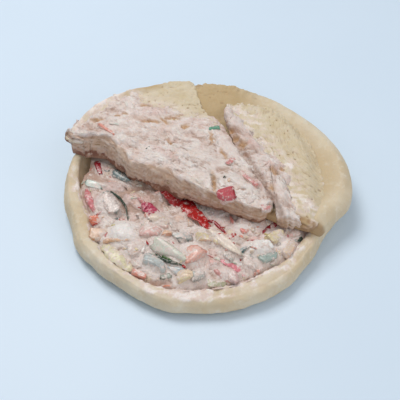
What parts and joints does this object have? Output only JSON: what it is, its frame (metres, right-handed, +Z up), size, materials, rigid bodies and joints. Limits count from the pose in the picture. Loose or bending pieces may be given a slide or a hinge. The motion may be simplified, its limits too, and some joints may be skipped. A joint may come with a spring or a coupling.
{
  "type": "cheese sandwich",
  "caption": "Round pale pocket bread slit open and filled with a creamy cheese and vegetable mix, its upper layer folded back, torn and smeared.",
  "frame": {"origin": "middle of the flat underside, under the centre of the bread's box", "axes": "+Z up, the open front of the pocket faces -Y, the fold of the upper layer runs from the left back to the right front"},
  "size_m": [0.161, 0.1544, 0.0371],
  "materials": {
    "bread": "matt pale baked dough, stands in for bread",
    "cream_mix": "moist pinkish cream cheese mix",
    "red_pepper": "wet glossy red pepper",
    "pink_pepper": "red pepper thinly coated with the mix",
    "cucumber": "wet pale flesh with dark green skin",
    "yellow_pepper": "moist yellow vegetable",
    "pale_strip": "moist salmon-coloured strip"
  },
  "bodies": {
    "root": {"bread": "bread", "filling": "cream_mix", "flap_spread": "cream_mix", "tear_spread": "cream_mix", "red_pepper_strip": "red_pepper", "red_pepper_tip": "red_pepper", "red_pepper_dice": "red_pepper", "pink_pepper_sliver": "pink_pepper", "pink_pepper_flake": "pink_pepper", "pink_pepper_dice": "pink_pepper", "pink_pepper_strip": "pink_pepper", "dark_pepper_strip": "red_pepper", "cucumber_slice": "cucumber", "cucumber_wedge": "cucumber", "cucumber_stub": "cucumber", "cucumber_chip_left": "cucumber", "cucumber_chip_middle": "cucumber", "cucumber_chip_right": "cucumber", "yellow_pepper_lump": "yellow_pepper", "yellow_pepper_leaf": "yellow_pepper", "yellow_pepper_chip": "yellow_pepper", "yellow_pepper_end": "yellow_pepper", "pale_strip_left": "pale_strip", "pale_strip_right": "pale_strip"}
  },
  "joints": []
}
